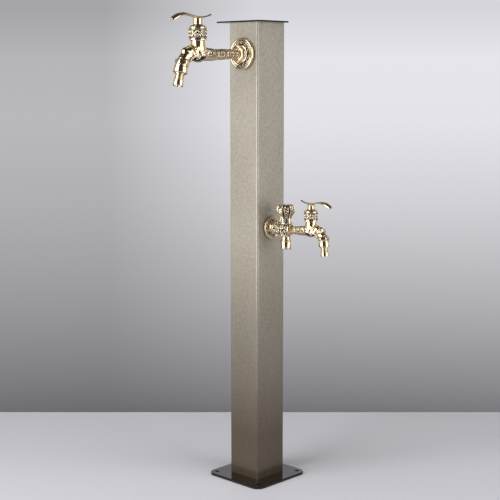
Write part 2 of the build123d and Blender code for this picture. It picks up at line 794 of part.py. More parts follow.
def branch_pieces():
    seal, fixed, moving, foot, foot_top = branch_levels()
    port, offset = branch_disc_radius * branch_disc_port_share, branch_disc_radius / 2
    knob_low = branch_neck_height + moving_gap
    spindle_top = knob_low + knob_height - knob_screw_sink - 2 * knob_screw_head_height - slip_clearance
    groove_at = branch_neck_height - branch_cartridge_depth / 3
    washer_top = -branch_drop - branch_spigot_length
    screw_way = rod(screw_radius * lower_share, foot, spindle_top + cut_overrun)
    screw_low = spindle_top + knob_screw_head_height - screw_length
    screw_way &= rod(branch_spindle_radius, screw_low, spindle_top + cut_overrun)
    spindle = make_spindle(
        branch_spindle_radius, branch_disc_radius, foot, foot_top, spindle_top, groove_at, oring_section)
    washer = ring(branch_spigot_radius, branch_port_radius, washer_top - side_collar_lip, washer_top)
    return {
        "knob": make_knob(),
        "knob_screw": make_knob_screw(),
        "knob_cartridge": make_knob_cartridge(),
        "knob_seat_seal": make_seal(branch_disc_radius, branch_port_radius, seal, branch_seal_thickness),
        "knob_fixed_disc": make_disc(branch_disc_radius, branch_disc_thickness, fixed, port, offset),
        "knob_moving_disc": make_disc(branch_disc_radius, branch_disc_thickness, moving, port, offset),
        "knob_spindle": spindle - screw_way,
        "knob_spindle_oring": make_oring(branch_spindle_radius, groove_at, oring_section),
        "side_outlet_collar": make_side_collar(),
        "side_outlet_washer": washer,
    }


def placed(pieces, prefix, place):
    return {prefix + name: place * piece for name, piece in pieces.items()}


def make_standpipe():
    lower_seat = lower_tap_height - tee_half_length + socket_depth
    middle_seat = lower_tap_height + tee_half_length - socket_depth
    upper_seat = upper_tap_height - tee_half_length + socket_depth
    nodes = {
        "base_plate": make_base_plate(),
        "post_tube": make_post_tube(),
        "cap_plate": make_cap_plate(),
        "cap_insert": make_cap_insert(),
        "supply_inlet": make_supply_inlet(),
        "supply_tee": make_supply_tee(),
        "supply_elbow": make_supply_elbow(),
        "riser_lower": make_riser(inlet_seat, lower_seat),
        "riser_upper": make_riser(middle_seat, upper_seat),
    }
    for name, share in zip(("pipe_clip_lower", "pipe_clip_upper"), clip_height_shares):
        nodes[name] = make_pipe_clip(share * post_height)

    upper_face = Pos(0, -post_half, upper_tap_height) * Rot(0, 0, -90)
    upper_head = upper_face * Pos(upper_reach, 0, 0)
    nodes.update(placed(wall_pieces(upper_share), "upper_", upper_face))
    nodes["upper_body"] = upper_head * make_upper_body()
    nodes.update(placed(valve_pieces(upper_share), "upper_", upper_head))
    nodes.update(placed(connector_pieces(upper_share, upper_nozzle_tilt), "upper_", upper_head))

    lower_face = Pos(post_half, 0, lower_tap_height)
    lower_head = lower_face * Pos(lower_reach, 0, lower_head_raise)
    nodes.update(placed(wall_pieces(lower_flange_share), "lower_", lower_face))
    nodes["lower_block"] = lower_face * make_lower_block()
    nodes.update(placed(branch_pieces(), "", lower_face * Pos(branch_reach, 0, 0)))
    nodes["lower_body"] = lower_head * make_lower_body()
    nodes.update(placed(valve_pieces(lower_share), "lower_", lower_head))
    nodes.update(placed(connector_pieces(lower_share, lower_nozzle_tilt), "lower_", lower_head))
    return nodes


os.makedirs("parts", exist_ok=True)
for name, piece in make_standpipe().items():
    export_step(piece, "parts/" + name + ".step")
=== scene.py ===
import math
import types

import bmesh
import bpy
import numpy as np
from mathutils import Matrix, Vector
from mathutils.geometry import interpolate_bezier


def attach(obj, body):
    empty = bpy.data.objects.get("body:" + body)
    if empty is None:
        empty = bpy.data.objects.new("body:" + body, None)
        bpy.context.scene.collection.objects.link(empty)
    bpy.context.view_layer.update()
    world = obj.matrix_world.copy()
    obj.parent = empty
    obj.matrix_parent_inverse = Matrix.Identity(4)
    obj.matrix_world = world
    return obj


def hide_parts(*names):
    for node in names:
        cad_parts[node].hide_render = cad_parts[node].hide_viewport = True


# Garden standpipe: a coated square post on a bolted plate, with an ornate bib tap near its top and
# a smaller two-way tap halfway up. The castings, their carving and all finishes are made here round
# the packed model. Everything is in metres; +Z is up, the upper tap points to -Y, the lower to +X.

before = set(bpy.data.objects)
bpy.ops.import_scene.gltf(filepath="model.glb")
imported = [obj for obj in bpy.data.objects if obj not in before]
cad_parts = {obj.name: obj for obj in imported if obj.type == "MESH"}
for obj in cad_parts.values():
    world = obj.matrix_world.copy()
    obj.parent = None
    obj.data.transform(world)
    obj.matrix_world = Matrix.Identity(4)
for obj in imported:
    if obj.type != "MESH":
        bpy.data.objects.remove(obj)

bl_info = {
    "name": "Garden standpipe",
    "version": (1, 0, 0),
    "blender": (4, 5, 0),
    "location": "View3D > Sidebar > Standpipe",
    "description": "Dresses the packed standpipe with cast and turned brass, coatings and a studio",
    "category": "Object",
}


# Sizes and colours a user would change

def length(name, description, millimetres):
    return bpy.props.FloatProperty(
        name=name, description=description, default=millimetres / 1000, unit="LENGTH", precision=5)


def share(name, description, default):
    return bpy.props.FloatProperty(name=name, description=description, default=default, min=0.0, precision=3)


def angle(name, description, degrees):
    return bpy.props.FloatProperty(
        name=name, description=description, default=math.radians(degrees), unit="ROTATION")


def colour(name, description, red, green, blue):
    return bpy.props.FloatVectorProperty(
        name=name, description=description, default=(red, green, blue), subtype="COLOR", size=3, min=0, max=1)


class StandpipeTapPlaces(bpy.types.PropertyGroup):
    """Where the two taps sit on the post, and the size of each against the tap pattern."""
    upper_height: length("Upper height", "Height of the upper arm's axis", 884.3)
    upper_reach: length("Upper reach", "Post face to the upper bonnet's axis", 124.5)
    lower_height: length("Lower height", "Height of the lower arm's axis", 534.0)
    lower_reach: length("Lower reach", "Post face to the lower bonnet's axis", 108.3)
    lower_rise: length("Lower rise", "How far the lower head sits above its arm", 4.0)
    face: length("Post face", "Post axis to its face", 40.0)
    branch_reach: length("Branch reach", "Post face to the axis of the knob and side outlet", 41.0)
    gasket: length("Gasket", "Thickness of the rubber ring behind a flange", 1.5)
    thread: length("Thread", "Radius of the tap's tail thread", 10.58)
    lower_share: share("Lower share", "Size of the lower head against the pattern", 0.77)
    lower_flange_share: share("Lower flange share", "Size of the lower flange against the pattern", 0.73)
    upper_tilt: angle("Upper tilt", "Lean of the upper hose connector", 14)
    lower_tilt: angle("Lower tilt", "Lean of the lower hose connector", 5)


class StandpipeTurnedSizes(bpy.types.PropertyGroup):
    """Turned pieces of the tap pattern, at the upper tap's size."""
    flange_radius: length("Flange radius", "Outer radius of the wall flange", 32.0)
    flange_height: length("Flange height", "Height of the flange's rim above its ring", 6.0)
    hub_height: length("Hub height", "Height of the flange's hub above its ring", 10.5)
    collar_flats: length("Collar flats", "Across the flats of the hexagon collar", 30.3)
    collar_length: length("Collar length", "Length of the hexagon collar", 9.0)
    neck_height: length("Neck height", "Head centre to the foot of the bonnet", 24.2)
    bonnet_radius: length("Bonnet radius", "Outer radius of the bonnet", 18.2)
    bonnet_height: length("Bonnet height", "Height of the bonnet without its lever", 30.0)
    spout_reach: length("Spout reach", "Bonnet axis to the spout's mouth", 44.2)
    spout_drop: length("Spout drop", "Head centre down to the spout's mouth", 26.5)
    nut_radius: length("Nut radius", "Outer radius of the hose connector's nut", 14.4)
    nut_length: length("Nut length", "Length of the hose connector's nut", 12.5)


class StandpipeRelief(bpy.types.PropertyGroup):
    """Depth of the ornament, at the upper tap's size."""
    leaf_depth: length("Leaf depth", "Height of the leaves on a tap's body", 1.7)
    band_depth: length("Band depth", "Height of the scrolls round a bonnet", 1.0)
    flange_depth: length("Flange depth", "Height of the wave on a flange", 1.5)
    block_depth: length("Block depth", "Height of the scrolls on the two-way block", 1.0)
    hatch_depth: length("Hatch depth", "Height of the strokes on the knob's panels", 0.6)


class StandpipeColours(bpy.types.PropertyGroup):
    """Colours of the finishes."""
    coat_light: colour("Post coat, light", "Lighter grains of the post's hammered coat", 0.500, 0.467, 0.390)
    coat_dark: colour("Post coat, dark", "Darker grains of the post's hammered coat", 0.250, 0.220, 0.167)
    # The two foot colours are painted shade: the dark brown the coat turns to near the plate stands in for
    # the light falling off down the post.
    painted_shade_foot_light: colour("Post foot, light", "Lighter grains of the coat near the plate", 0.100, 0.064, 0.024)
    painted_shade_foot_dark: colour("Post foot, dark", "Darker grains of the coat near the plate", 0.034, 0.018, 0.005)
    plate: colour("Plate coat", "Gloss coat of the base and cap plates", 0.012, 0.008, 0.004)
    brass: colour("Brass", "Polished old brass", 0.800, 0.640, 0.400)
    # Bright brass is partly rubbed wear and partly painted highlight: its pale, near-white tone stands in for
    # the glints on the ornament's ridges.
    rubbed_brass_and_painted_highlight: colour("Bright brass", "Rubbed ridges of the ornament", 0.930, 0.880, 0.750)
    brass_deep: colour("Deep brass", "Browner places of the old brass", 0.380, 0.225, 0.085)
    patina: colour("Patina", "Dark finish left in the ornament", 0.020, 0.014, 0.010)
    plain_brass: colour("Plain brass", "Unfinished fittings inside the post", 0.720, 0.520, 0.240)
    steel: colour("Steel", "Brushed steel clips and screws", 0.560, 0.560, 0.550)
    ceramic: colour("Ceramic", "Valve discs", 0.780, 0.760, 0.720)
    rubber: colour("Rubber", "Seals and rings", 0.020, 0.020, 0.021)
    floor: colour("Floor", "Floor below the standpipe", 0.620, 0.610, 0.650)


def in_mm(group):
    """The group's sizes as plain numbers, lengths in millimetres and the rest as they are."""
    values = {}
    for name in group.__annotations__:
        value = getattr(group, name)
        values[name] = value * 1000 if group.bl_rna.properties[name].unit == "LENGTH" else value
    return types.SimpleNamespace(**values)


def places():
    return in_mm(bpy.context.scene.standpipe_places)


def sizes():
    return in_mm(bpy.context.scene.standpipe_sizes)


def relief():
    return in_mm(bpy.context.scene.standpipe_relief)


# Where things are. Pieces are drawn in millimetres at the upper tap's size, and their place matrix
# brings them to metres, to their tap and to its size.

MILLIMETRE = 0.001
OUTWARDS = Matrix.Rotation(math.radians(90), 4, "Y")


def scaled(factor):
    return Matrix.Diagonal((factor, factor, factor, 1))


def tap_facts(tap):
    """The wall frame in metres, and the head's offset, size, flange size and tilt, of "upper" or "lower"."""
    at = places()
    if tap == "upper":
        wall = Matrix.Translation((0, -at.face * MILLIMETRE, at.upper_height * MILLIMETRE))
        wall @= Matrix.Rotation(math.radians(-90), 4, "Z")
        return types.SimpleNamespace(
            wall=wall, reach=at.upper_reach, rise=0.0, share=1.0, flange_share=1.0, tilt=at.upper_tilt)
    wall = Matrix.Translation((at.face * MILLIMETRE, 0, at.lower_height * MILLIMETRE))
    return types.SimpleNamespace(
        wall=wall, reach=at.lower_reach, rise=at.lower_rise, share=at.lower_share,
        flange_share=at.lower_flange_share, tilt=at.lower_tilt)


def wall_place(tap, size=1.0):
    return tap_facts(tap).wall @ scaled(MILLIMETRE * size)


def head_place(tap):
    facts = tap_facts(tap)
    offset = Vector((facts.reach, 0, facts.rise)) * MILLIMETRE
    return facts.wall @ Matrix.Translation(offset) @ scaled(MILLIMETRE * facts.share)


def mouth_place(tap):
    """Frame at the spout's mouth, its +Z running down the hose connector."""
    size, tilt = sizes(), tap_facts(tap).tilt
    turn = Matrix.Rotation(math.pi - tilt, 4, "Y")
    return head_place(tap) @ Matrix.Translation((size.spout_reach, 0, -size.spout_drop)) @ turn


def branch_place():
    at = places()
    foot = Vector((at.face + at.branch_reach, 0, at.lower_height)) * MILLIMETRE
    return Matrix.Translation(foot) @ scaled(MILLIMETRE)


# Shader maths

class Value:
    """A number in a material: arithmetic on it adds Math nodes."""

    def __init__(self, finish, socket):
        self.finish, self.socket = finish, socket

    def math(self, operation, *others):
        node = self.finish.node("Math", dict(enumerate((self,) + others)), operation=operation)
        return Value(self.finish, node.outputs[0])

    def __add__(self, other):
        return self.math("ADD", other)

    __radd__ = __add__

    def __mul__(self, other):
        return self.math("MULTIPLY", other)

    def __sub__(self, other):
        return self.math("SUBTRACT", other)

    def __rsub__(self, other):
        return (self * -1.0) + other

    def clamped(self):
        return self.math("MAXIMUM", 0.0).math("MINIMUM", 1.0)

    def between(self, low, high):
        """0 up to low, 1 from high on, and a straight rise between them."""
        return ((self - low) * (1.0 / (high - low))).clamped()


class Finish:
    """A material under construction, with a Principled shader."""

    def __init__(self, name, **constants):
        self.material = bpy.data.materials.new(name)
        self.begin(self.material, "BsdfPrincipled", constants, "OutputMaterial")

    def begin(self, owner, shader, constants, output):
        """Start the owner's node tree anew with a shader and its output."""
        owner.use_nodes = True
        self.tree = owner.node_tree
        self.tree.nodes.clear()
        self.shader = self.node(shader, constants)
        self.node(output, {"Surface": self.shader.outputs[0]})

    def node(self, kind, inputs=(), **settings):
        """A ShaderNode of a kind, with its settings and the values or links of its sockets."""
        node = self.tree.nodes.new("ShaderNode" + kind)
        for name, value in settings.items():
            setattr(node, name, value)
        for name, value in dict(inputs).items():
            self.join(node.inputs[name], value)
        return node

    def join(self, socket, value):
        if isinstance(value, Value):
            value = value.socket
        if isinstance(value, bpy.types.NodeSocket):
            self.tree.links.new(value, socket)
        elif socket.type == "RGBA":
            socket.default_value = (*value, 1.0)
        else:
            socket.default_value = value

    def here(self, stretch=(1, 1, 1)):
        """Object coordinates, stretched."""
        place = self.node("TexCoord").outputs["Object"]
        return self.node("Mapping", {"Vector": place, "Scale": stretch}).outputs[0]

    def noise(self, scale, detail, stretch=(1, 1, 1)):
        node = self.node("TexNoise", {
            "Vector": self.here(stretch), "Scale": scale, "Detail": detail, "Roughness": 0.55})
        return Value(self, node.outputs["Fac"])

    def cells(self, scale):
        node = self.node("TexVoronoi", {"Vector": self.here(), "Scale": scale})
        return Value(self, node.outputs["Distance"])

    def height(self):
        """Height above the floor in metres, or how far a direction rises."""
        node = self.node("SeparateXYZ", {"Vector": self.here()})
        return Value(self, node.outputs["Z"])

    def along(self, direction):
        """How far a place or a direction lies along a level direction."""
        node = self.node("VectorMath", {0: self.here(), 1: direction}, operation="DOT_PRODUCT")
        return Value(self, node.outputs["Value"])

    def attribute(self, name):
        return Value(self, self.node("Attribute", attribute_name=name).outputs["Fac"])

    def mixed(self, factor, first, second):
        node = self.node("Mix", data_type="RGBA")
        self.join(node.inputs["Factor"], factor)
        self.join(node.inputs[6], first)
        self.join(node.inputs[7], second)
        return node.outputs[2]

    def ramp(self, factor, stops):
        node = self.node("ValToRGB", {"Fac": factor})
        elements = node.color_ramp.elements
        while len(elements) < len(stops):
            elements.new(0.5)
        for element, (position, shade) in zip(elements, stops):
            element.position, element.color = position, (*shade, 1.0)
        return node.outputs["Color"]

    def set(self, **inputs):
        for name, value in inputs.items():
            self.join(self.shader.inputs[name.replace("_", " ")], value)

    def bump(self, height, distance, strength):
        node = self.node("Bump", {"Height": height, "Distance": distance, "Strength": strength})
        self.join(self.shader.inputs["Normal"], node.outputs[0])


class Surroundings(Finish):
    """The world under construction; its places are directions."""

    def __init__(self, name):
        world = bpy.data.worlds.new(name)
        bpy.context.scene.world = world
        self.begin(world, "Background", {"Strength": 1.0}, "OutputWorld")

    def here(self, stretch=(1, 1, 1)):
        return self.node("TexCoord").outputs["Generated"]


def colours():
    group = bpy.context.scene.standpipe_colours
    return types.SimpleNamespace(**{name: tuple(getattr(group, name)) for name in group.__annotations__})


def finish(name):
    """The named finish, made the first time it is asked for."""
    return bpy.data.materials.get(name) or FINISHES[name][0](name)


def make_post_coat(name):
    """Hammered powder coat: pale and dark grains, a dimpled skin and a few dull rubs, with painted shade that
    darkens and browns it towards the plate.
    """
    tone, made = colours(), Finish(name, **{"Coat Weight": 0.8, "Coat Roughness": 0.1})
    grain, mottle, cloud = made.noise(520, 4), made.noise(150, 3), made.noise(9, 3, (1, 1, 0.5))
    dimple = made.cells(330)
    # Painted shade: from half a metre down the coat turns to the dark brown foot colours, almost wholly by
    # 0.1 m above the floor.
    low = made.height().between(0.1, 0.5)
    light = (grain * 0.75 + mottle * 0.45 + cloud * 0.35 - 0.42).between(0.1, 0.7)
    coat = made.mixed(light, tone.coat_dark, tone.coat_light)
    painted_foot_shade = made.mixed(light, tone.painted_shade_foot_dark, tone.painted_shade_foot_light)
    coat_with_painted_foot_shade = made.mixed((1.0 - low) * 0.95, coat, painted_foot_shade)
    rub = made.noise(28, 5).between(0.62, 0.8)
    made.set(Base_Color=coat_with_painted_foot_shade, Metallic=grain.between(0.45, 0.75) * 0.35 + 0.35)
    made.set(Roughness=0.36 + mottle * 0.16 + rub * 0.12)
    made.bump(dimple * 0.6 + grain * 0.5, 0.00035, 0.55)
    return made.material


def make_plate_coat(name):
    """Gloss dark bronze coat with a fine fleck and a few dusty, duller patches."""
    tone = colours()
    made = Finish(name, **{"Specular IOR Level": 0.3, "Coat Weight": 0.3, "Coat Roughness": 0.06})
    grain, cloud, dust = made.noise(600, 4), made.noise(18, 3), made.noise(40, 5)
    fleck = made.mixed(grain.between(0.55, 0.75) * 0.5, tone.plate, tone.coat_dark)
    made.set(Base_Color=made.mixed(cloud * 0.5, fleck, tuple(part * 0.5 for part in tone.plate)))
    made.set(Metallic=0.3 + grain * 0.2, Roughness=0.16 + dust.between(0.5, 0.75) * 0.2)
    made.bump(grain, 0.00008, 0.3)
    return made.material


def make_aged_brass(name):
    """Polished old brass: browned in patches, blackened in its hollows, and pale on ridges, which is partly
    rubbed wear and partly painted highlight.
    """
    tone, made = colours(), Finish(name)
    carving = made.attribute("relief")
    grain, cloud, drift = made.noise(900, 3), made.noise(70, 4), made.noise(22, 3)
    low = (carving * -1.5 + (cloud - 0.5) * 0.4).clamped()
    browned = (cloud * 0.75 + drift * 0.6 - 0.38).between(0.1, 0.75) * 0.45
    brass = made.mixed(browned, tone.brass, tone.brass_deep)
    # Ridges and raised carving take the pale bright brass: rubbed wear, and painted highlight.
    high = made.mixed(carving.clamped() * 0.85, brass, tone.rubbed_brass_and_painted_highlight)
    made.set(Base_Color=made.mixed(low, high, tone.patina), Metallic=1.0 - low * 0.35)
    made.set(Roughness=0.07 + grain * 0.05 + cloud * 0.06 + low * 0.35)
    made.bump(grain * 0.6 + cloud * 0.4, 0.00004, 0.4)
    return made.material


def make_plain_brass(name):
    """Machined brass, with fine tool rings and a few water spots."""
    tone, made = colours(), Finish(name)
    rings, cloud = made.noise(900, 2, (1, 1, 0.08)), made.noise(90, 4)
    made.set(Base_Color=made.mixed(cloud * 0.5, tone.plain_brass, tone.brass_deep))
    made.set(Metallic=0.95 + rings * 0.05, Roughness=0.24 + rings * 0.12 + cloud * 0.1)
    made.bump(rings, 0.00005, 0.5)
    return made.material


def make_steel(name):
    tone, made = colours(), Finish(name)
    lines, cloud = made.noise(1200, 2, (1, 0.06, 1)), made.noise(60, 3)
    made.set(Base_Color=made.mixed(cloud * 0.5, tone.steel, tuple(part * 0.6 for part in tone.steel)))
    made.set(Metallic=0.94 + lines * 0.06, Roughness=0.26 + lines * 0.16)
    made.bump(lines, 0.00004, 0.5)
    return made.material


def make_ceramic(name):
    tone, made = colours(), Finish(name, **{"Coat Weight": 0.3})
    speck, cloud = made.noise(1400, 2), made.noise(120, 3)
    made.set(Base_Color=made.mixed(speck.between(0.55, 0.7) * 0.4, tone.ceramic, (0.55, 0.53, 0.48)))
    made.set(Roughness=0.22 + cloud * 0.12)
    made.bump(speck, 0.00002, 0.4)
    return made.material


def make_rubber(name):
    tone, made = colours(), Finish(name, **{"Specular IOR Level": 0.35})
    grain, cloud = made.noise(1500, 3), made.noise(110, 3)
    made.set(Base_Color=made.mixed(cloud * 0.6, tone.rubber, (0.045, 0.044, 0.043)))
    made.set(Roughness=0.55 + grain * 0.2)
    made.bump(grain, 0.00005, 0.6)
    return made.material


# Each finish, with the words in a packed node's name that call for it; the first that fits counts
FINISHES = {
    "hammered_post_coat": (make_post_coat, ("post_tube",)),
    "gloss_plate_coat": (make_plate_coat, ("base_plate", "cap_plate")),
    "brushed_steel": (make_steel, ("cap_insert", "pipe_clip", "screw")),
    "valve_ceramic": (make_ceramic, ("disc",)),
    "seal_rubber": (make_rubber, ("gasket", "seal", "oring", "washer")),
    "aged_brass": (make_aged_brass, ("bonnet", "body", "block", "flange", "nozzle", "collar")),
    "machined_brass": (make_plain_brass, ("",)),
}


def node_finish(node):
    return next(name for name, (_, words) in FINISHES.items() if any(word in node for word in words))


# Mesh making

def turned(outline, steps=96, closed=True):
    """Surface of revolution about Z from (radius, height) corners."""
    bm = bmesh.new()
    corners = [bm.verts.new((radius, 0, height)) for radius, height in outline]
    ends = corners[1:] + corners[:1] if closed else corners[1:]
    edges = [bm.edges.new(pair) for pair in zip(corners, ends)]
    bmesh.ops.spin(bm, geom=corners + edges, axis=(0, 0, 1), cent=(0, 0, 0), angle=math.tau, steps=steps,
                   use_merge=True)
    bmesh.ops.remove_doubles(bm, verts=bm.verts, dist=1e-4)
    bmesh.ops.recalc_face_normals(bm, faces=bm.faces)
    return bm


def softened(bm, width, segments=2, sharp=30):
    """Bevel the edges that turn by more than a given angle."""
    limit = math.radians(sharp)
    edges = [edge for edge in bm.edges if edge.is_manifold and edge.calc_face_angle() > limit]
    bmesh.ops.bevel(bm, geom=edges, offset=width, segments=segments, profile=0.5, affect="EDGES", material=-1,
                    clamp_overlap=True)
    return bm


def curve(start, first, second, end, count):
    """Points of a smooth run between two (radius, height) corners, steered by two more."""
    four = [Vector((*corner, 0)) for corner in (start, first, second, end)]
    return [(point.x, point.y) for point in interpolate_bezier(*four, count)]


def run(start, end, count):
    """Points of a straight run, both ends among them."""
    return [tuple(pair) for pair in np.linspace(start, end, count)]


def moved(corners, radius, height):
    """The same (radius, height) corners, moved out and up."""
    return [(radius + out, height + up) for out, up in corners]


def add_object(name, data):
    made = bpy.data.objects.new(name, data)
    bpy.context.scene.collection.objects.link(made)
    return made


def editable(mesh):
    bm = bmesh.new()
    bm.from_mesh(mesh)
    return bm


def written(bm, mesh):
    bm.to_mesh(mesh)
    bm.free()
    mesh.update()
    return mesh


def to_mesh(bm, name):
    return written(bm, bpy.data.meshes.new(name))


def smooth(bm, verts, rounds):
    for _ in range(rounds):
        bmesh.ops.smooth_vert(bm, verts=verts, factor=0.5, use_axis_x=True, use_axis_y=True, use_axis_z=True)


def placed(mesh, name, place, body="post", replaced=(), sharp=38):
    """Finish a mesh drawn in its own frame as an old brass object that rides a body."""
    if isinstance(mesh, bmesh.types.BMesh):
        mesh = to_mesh(mesh, name)
    mesh.name = name
    keep_hollows(mesh)
    mesh.transform(place)
    mesh.shade_smooth()
    mesh.set_sharp_from_angle(angle=math.radians(sharp))
    mesh.materials.clear()
    mesh.materials.append(finish("aged_brass"))
    piece = add_object(name, mesh)
    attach(piece, body)
    if replaced:
        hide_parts(*replaced)


def points_and_normals(mesh):
    count = len(mesh.vertices)
    points, normals = np.empty(count * 3), np.empty(count * 3)
    mesh.vertices.foreach_get("co", points)
    mesh.vertex_normals.foreach_get("vector", normals)
    return points.reshape(-1, 3), normals.reshape(-1, 3)


def set_points(mesh, points):
    mesh.vertices.foreach_set("co", points.ravel())
    mesh.update()
    return mesh


def keep_hollows(mesh, strength=3.0):
    """Add each vertex's lie to "relief": below 0 in a hollow, above 0 on a ridge."""
    points, normals = points_and_normals(mesh)
    pairs = np.empty(len(mesh.edges) * 2, dtype=np.int32)
    mesh.edges.foreach_get("vertices", pairs)
    pairs = pairs.reshape(-1, 2)
    bend, count = np.zeros(len(points)), np.zeros(len(points))
    for near, far in (pairs.T, pairs.T[::-1]):
        way = points[far] - points[near]
        rise = np.sum(way * normals[near], axis=1) / np.maximum(np.linalg.norm(way, axis=1), 1e-9)
        np.add.at(bend, near, rise)
        np.add.at(count, near, 1)
    lie = np.zeros(len(points), dtype=np.float32)
    kept = mesh.attributes.get("relief")
    if kept:
        kept.data.foreach_get("value", lie)
    else:
        kept = mesh.attributes.new("relief", "FLOAT", "POINT")
    lie = np.clip(lie - strength * bend / np.maximum(count, 1), -1, 1)
    kept.data.foreach_set("value", lie.astype(np.float32))


CAST_ROUNDS, SOFT_ROUNDS = 4, 36


def cast_copy(node, place, grain, fillers=(), soft=None):
    """A packed node as one even, softened skin in the frame of its tap, as a casting has.

    The fillers are spheres, each a centre and a radius, that round out inner corners, and soft tells
    which points are smoothed further.
    """
    bm = editable(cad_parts[node].data)
    bmesh.ops.transform(bm, matrix=place.inverted(), verts=bm.verts)
    bmesh.ops.remove_doubles(bm, verts=bm.verts, dist=1e-3)
    for centre, radius in fillers:
        bmesh.ops.create_icosphere(bm, subdivisions=4, radius=radius, matrix=Matrix.Translation(centre))
    mesh = to_mesh(bm, node)
    rough = add_object(node, mesh)
    remesh = rough.modifiers.new("skin", "REMESH")
    remesh.mode, remesh.voxel_size = "VOXEL", grain
    skin = bpy.data.meshes.new_from_object(rough.evaluated_get(bpy.context.evaluated_depsgraph_get()))
    bpy.data.objects.remove(rough)
    bpy.data.meshes.remove(mesh)
    bm = editable(skin)
    chosen = [vert for vert in bm.verts if soft(vert.co)] if soft else []
    smooth(bm, list(bm.verts), CAST_ROUNDS)
    smooth(bm, chosen, SOFT_ROUNDS)
    return written(bm, skin)


def carved(mesh, pattern, depth, sink=0.4):
    """Push a mesh in and out by a pattern, and keep the pattern for the finish as "relief".

    The pattern takes points and normals and gives how far each is raised, from 0 to 1, how much of
    the carving reaches it, from 0 to 1, and how dark or bright it is finished, from -1 to 1.
    """
    points, normals = points_and_normals(mesh)
    raised, zone, shade = pattern(points, normals)
    set_points(mesh, points + normals * (zone * depth * (raised - sink))[:, None])
    kept = mesh.attributes.new("relief", "FLOAT", "POINT")
    kept.data.foreach_set("value", (zone * shade).astype(np.float32))
    return mesh


# Ornament, drawn on a flat sheet: u runs along it and v across, both in millimetres

def eased(low, high, value):
    step = np.clip((value - low) / (high - low), 0, 1)
    return step * step * (3 - 2 * step)


def within(low, high, value, soft=1.0):
    return eased(low - soft, low, value) * (1 - eased(high, high + soft, value))


def volute(u, v, centre, radius, hand, start, turns=1.8):
    """A rolled scroll that winds in to a round eye."""
    across, up = u - centre[0], (v - centre[1]) * hand
    reach = np.hypot(across, up)
    way = np.mod(np.arctan2(up, across) - start, math.tau) / math.tau
    pitch = radius / turns
    coil = np.clip(np.round(reach / pitch - way), 0, None)
    line = pitch * (way + coil)
    band = np.clip(1 - ((reach - line) / (0.34 * pitch)) ** 2, 0, 1) * (line <= radius)
    eye = np.clip(1 - (reach / (0.5 * pitch)) ** 2, 0, 1)
    return np.maximum(band, eye)


def leaf(u, v, root, tip, width, lobes, bend=0.0):
    """A lobed leaf with a sunk midrib and side veins."""
    extent, heading = math.dist(root, tip), math.atan2(tip[1] - root[1], tip[0] - root[0])
    across, up = u - root[0], v - root[1]
    along = across * math.cos(heading) + up * math.sin(heading)
    off = up * math.cos(heading) - across * math.sin(heading)
    part = along / extent
    inside = np.clip(part, 0, 1)
    off = off - bend * np.sin(math.pi * inside)
    half = width * np.sin(math.pi * inside ** 0.75) * (1 - 0.3 * np.abs(np.cos(math.pi * lobes * inside)))
    dome = np.clip(1 - (off / np.maximum(half, 0.05)) ** 2, 0, 1) ** 0.6 * (part > 0) * (part < 1)
    midrib = 1 - 0.6 * np.exp(-((off / (0.11 * width)) ** 2))
    veins = 1 - 0.3 * (0.5 + 0.5 * np.cos(math.tau * (along - 0.9 * np.abs(off)) * lobes * 1.5 / extent))
    return dome * midrib * veins


# One tile of scrollwork, in shares of the tile. Volutes: centre and start. Leaves: root and tip.
TILE_VOLUTES = (((-0.23, 0.23), 0.6), ((0.23, -0.23), 3.7))
TILE_LEAVES = (((-0.5, -0.42), (0.10, 0.12)), ((0.5, 0.42), (-0.05, -0.05)))


def scrollwork(u, v, tile_u, tile_v):
    """Repeating floral scrolls: paired volutes with leaves between, mirrored from tile to tile."""
    column, row = np.floor(u / tile_u), np.floor(v / tile_v)
    flip, turn = 1 - 2 * np.mod(column, 2), 1 - 2 * np.mod(row, 2)
    x = (u / tile_u - column - 0.5) * tile_u * turn
    y = (v / tile_v - row - 0.5) * tile_v * flip

    def spot(share_u, share_v):
        return share_u * tile_u, share_v * tile_v

    marks = [volute(x, y, spot(*centre), 0.30 * tile_v, 1, start) for centre, start in TILE_VOLUTES]
    marks += [leaf(x, y, spot(*root), spot(*tip), 0.13 * tile_v, 3) for root, tip in TILE_LEAVES]
    return np.maximum.reduce(marks)


def wave(u, v, pitch, swing, width):
    """A running wave with a round drop in each bay."""
    part = u / pitch
    line = swing * np.sin(math.tau * part)
    slope = np.hypot(1, math.tau * swing / pitch * np.cos(math.tau * part))
    height = np.clip(1 - ((v - line) / (width * slope)) ** 2, 0, 1)
    for phase, side in ((0.25, -1), (0.75, 1)):
        near = (np.mod(part - phase + 0.5, 1) - 0.5) * pitch
        drop = np.clip(1 - (near ** 2 + (v - side * swing * 0.55) ** 2) / (1.25 * width) ** 2, 0, 1)
        height = np.maximum(height, drop)
    return height


def around_x(points, height=0.0):
    """Angle round the X axis at a height, and distance from it."""
    rise = points[:, 2] - height
    return np.arctan2(points[:, 1], rise), np.hypot(points[:, 1], rise)


def around_z(points, middle=0.0):
    """Angle round an upright axis, and distance from it."""
    across = points[:, 0] - middle
    return np.arctan2(points[:, 1], across), np.hypot(across, points[:, 1])


# The pieces

CAST_SHARP = 60


